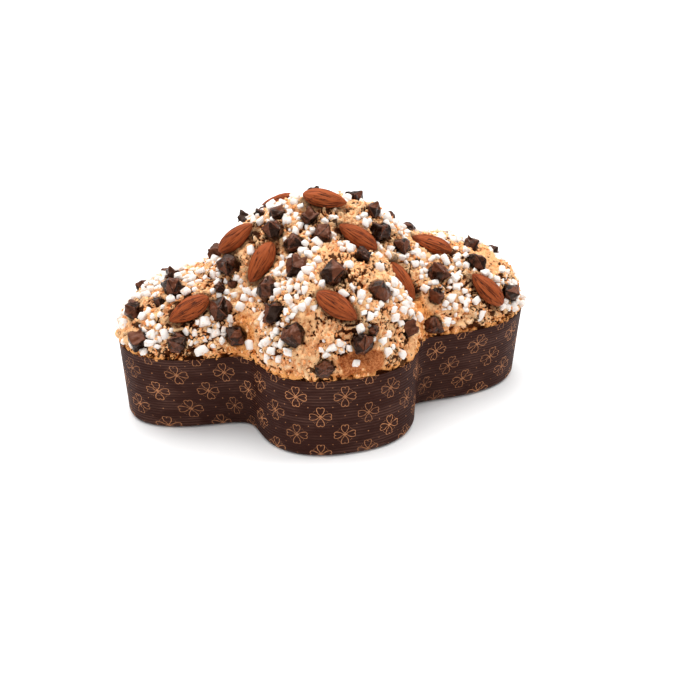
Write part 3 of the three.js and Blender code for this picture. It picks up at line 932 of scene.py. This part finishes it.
def chocolate_finish():
    finish = Finish("dark_chocolate", Specular_IOR_Level=0.3, Specular_Tint=(1, 0.6, 0.45, 1))
    bloom = finish.grain(2.4, detail=4, rough=0.6)
    # The facet tone is painted light and shade. The bloom noise laid over it is the chocolate's own.
    tone = finish.attribute("facet_light_and_shade") + (bloom - 0.5) * 1.2
    colour = finish.mix(finish.ease(tone, 0.35, 1.15), paint(14, 4, 2), paint(92, 50, 33))
    finish.bump(finish.grain(0.8, detail=3), 0.3, 0.15)
    return finish.show(Base_Color=colour, Roughness=bloom * 0.6 - 0.06)


chocolate = add_object("chocolate_pieces", merged(chocolate_shapes()), chocolate_finish(), smooth=False)
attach(chocolate, "root")
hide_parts("cake", *[f"chocolate_{k + 1:02d}" for k in range(len(CHUNKS))])

# ---- Pearl sugar ----
# Hard-pressed white sugar nibs, thrown on the wet glaze by hand, so that they lie in drifts.
# The largest are spread evenly and the smaller ones gather between them.

LARGE_GRAINS = 104
LARGEST, SMALLEST_LARGE = 5.6, 4.2
LARGE_SPACING = 14.5
SMALL_GRAINS = 880


def keep_off(place, length, width, points):
    """Which points lie within an oval round a topping, with room for a grain."""
    room = 0.5 * LARGEST + 0.3
    local = (points - place[:3, 3]) @ place[:3, :3]
    inside = np.hypot(local[:, 0] / (length / 2 + room), local[:, 1] / (width / 2 + room)) < 1
    return inside & (abs(local[:, 2]) < length / 2 + room)


def large_grains():
    """The evenly spread grains: points, ways out, headings and sizes, the largest first."""
    dice = lehmer(20260)
    tries = np.array([[next(dice) for _ in range(3)] for _ in range(4000)])
    points, outs = spots_at(360 * tries[:, 0], np.degrees(np.arcsin(tries[:, 1])))
    barred = points[:, 2] < CASE_HEIGHT + 7
    for place in almond_places:
        barred |= keep_off(place, ALMOND_SIZE[0], ALMOND_SIZE[1], points)
    for row, place in zip(CHUNKS + CHIPS, chunk_places + chip_places):
        barred |= keep_off(place, row[2], row[2], points)
    kept = []
    for k in np.flatnonzero(~barred):
        if all(np.linalg.norm(points[k] - points[other]) >= LARGE_SPACING for other in kept):
            kept.append(k)
        if len(kept) == LARGE_GRAINS:
            break
    sizes = [LARGEST + (SMALLEST_LARGE - LARGEST) * n / LARGE_GRAINS for n in range(LARGE_GRAINS)]
    return [(points[k], outs[k], 360 * tries[k, 2], size) for k, size in zip(kept, sizes)]


def area_shares():
    """How much of the crust each of its points stands for."""
    net = crust_points.reshape(ACROSS + 1, ACROSS + 1, 3)
    side = np.linalg.norm(np.cross(net[1:, :-1] - net[:-1, :-1], net[:-1, 1:] - net[:-1, :-1]), axis=-1)
    shares = np.zeros((ACROSS + 1, ACROSS + 1))
    shares[:-1, :-1] = side / side.sum()
    return shares.ravel()


corner_share = area_shares()


def small_grains(large):
    """Drifts of smaller grains, thinner near the rim and on bare dough, thicker on the head."""
    dice = np.random.default_rng(51)
    picks = dice.choice(len(crust_points), 22000, p=corner_share)
    points, outs = crust_points[picks], crust_outs[picks]
    drift = smooth_noise(points + 5, 11) + 0.5 * smooth_noise(points + 25, 5)
    above = points[:, 2] - CASE_HEIGHT
    wish = drift + 0.3 * ease(6, 30, above) - 2.2 * crust_masks["bare"][picks]
    wish += 0.25 * ease(50, 75, -points[:, 0])
    clear = (crust_masks["close"][picks] < 0.15) & (crust_masks["baked"][picks] < 0.3)
    good = (wish > 0.08) & (above > 4) & clear
    places = [point for point, _, _, _ in large]
    radii = [0.5 * size for _, _, _, size in large]
    grains = []
    for k in np.flatnonzero(good):
        size = 2.4 + 2.5 * dice.random()
        gaps = np.linalg.norm(np.array(places) - points[k], axis=1)
        if (gaps > 0.88 * (np.array(radii) + size / 2)).all():
            places.append(points[k])
            radii.append(size / 2)
            grains.append((points[k], outs[k], 360 * dice.random(), size))
        if len(grains) == SMALL_GRAINS:
            break
    return grains


def grain_shape(point, out, heading, size, seed):
    """A small uneven block with worn edges, tipped by chance."""
    shape = bmesh.new()
    bmesh.ops.create_cube(shape, size=1)
    for vert in shape.verts:
        vert.co += 0.56 * noise.noise_vector(vert.co * 2.6 + Vector((seed * 1.7, 0.4, 3.3)))
    bmesh.ops.bevel(shape, geom=shape.edges[:], offset=0.15, offset_type="OFFSET", affect="EDGES",
                    segments=1, profile=0.5, material=-1, clamp_overlap=True)
    stretch = 0.94 + 0.2 * math.sin(seed * 2.4)
    bmesh.ops.scale(shape, vec=(stretch * size, 0.84 * size, 0.74 * size), verts=shape.verts)
    about_x = Matrix.Rotation(0.5 * math.sin(seed * 1.3), 4, "X")
    about_y = Matrix.Rotation(0.5 * math.sin(seed * 3.1), 4, "Y")
    bmesh.ops.transform(shape, matrix=about_x @ about_y, verts=shape.verts)
    place = stood_on(point, out, heading, 0.05 * size)
    bmesh.ops.transform(shape, matrix=to_scene(place), verts=shape.verts)
    return shape


def sugar_finish():
    finish = Finish("white_sugar", Specular_IOR_Level=0.12)
    stain = finish.ease(finish.grain(2.2, detail=4, rough=0.65), 0.53, 0.66)
    colour = finish.mix(stain * 0.6, paint(236, 228, 221), paint(230, 182, 146))
    finish.bump(finish.grain(0.7, detail=3), 0.6, 0.25)
    return finish.show(Base_Color=colour, Roughness=stain * 0.2 + 0.6)


large = large_grains()
every_grain = large + small_grains(large)
grain_shapes = (grain_shape(*grain, k) for k, grain in enumerate(every_grain))
sugar = add_object("pearl_sugar", merged(grain_shapes), sugar_finish())
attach(sugar, "root")
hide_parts("cake")

# ---- Glaze crumbs ----
# The glaze bakes to a brittle shell, and where the dough has lifted it, it has broken into
# crumbs that stay stuck to the crust between the sugar.

CRUMBS = 4600


def crumb_shape(point, out, size, seed):
    shape = bmesh.new()
    bmesh.ops.create_icosphere(shape, subdivisions=1, radius=size / 2)
    for vert in shape.verts:
        vert.co *= 1 + 0.7 * noise.noise(vert.co / (0.6 * size) + Vector((0, seed * 2.3, 0)))
    bmesh.ops.scale(shape, vec=(1.15, 0.85, 0.7), verts=shape.verts)
    place = stood_on(point, out, seed * 67.0, 0.1 * size)
    bmesh.ops.transform(shape, matrix=to_scene(place), verts=shape.verts)
    return shape


def crumb_spots():
    """Where the crumbs gather: on the high parts of the glaze, away from the toppings."""
    dice = np.random.default_rng(8)
    picks = dice.choice(len(crust_points), 12 * CRUMBS, p=corner_share)
    gather = smooth_noise(crust_points[picks] + 71, 7)
    good = (crust_masks["close"][picks] < 0.3) & (gather + 0.6 * dice.random(len(picks)) > 0.2)
    good &= (crust_points[picks, 2] > CASE_HEIGHT + 2) & (crust_masks["relief"][picks] > -0.8)
    good &= crust_masks["baked"][picks] < 0.3
    for n, k in enumerate(picks[good][:CRUMBS]):
        yield crust_points[k], crust_outs[k], 0.8 + 1.5 * dice.random() ** 2, n


def crumb_finish():
    finish = Finish("glaze_crumb", Specular_IOR_Level=0.1)
    tone = finish.grain(3.5, detail=3)
    colour = finish.mix(finish.ease(tone, 0.38, 0.62), paint(232, 150, 90), paint(255, 206, 154))
    colour = finish.mix(finish.ease(finish.grain(0.8), 0.58, 0.72) * 0.7, colour, paint(160, 92, 48))
    finish.bump(finish.grain(0.6, detail=3), 0.6, 0.3)
    return finish.show(Base_Color=colour, Roughness=tone * 0.2 + 0.65)


crumbs = add_object("glaze_crumbs", merged(crumb_shape(*spot) for spot in crumb_spots()), crumb_finish())
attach(crumbs, "root")
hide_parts("cake")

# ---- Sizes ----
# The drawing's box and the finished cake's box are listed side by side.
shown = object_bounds()
[list(corner) for corner in (*cad_box, *shown)]
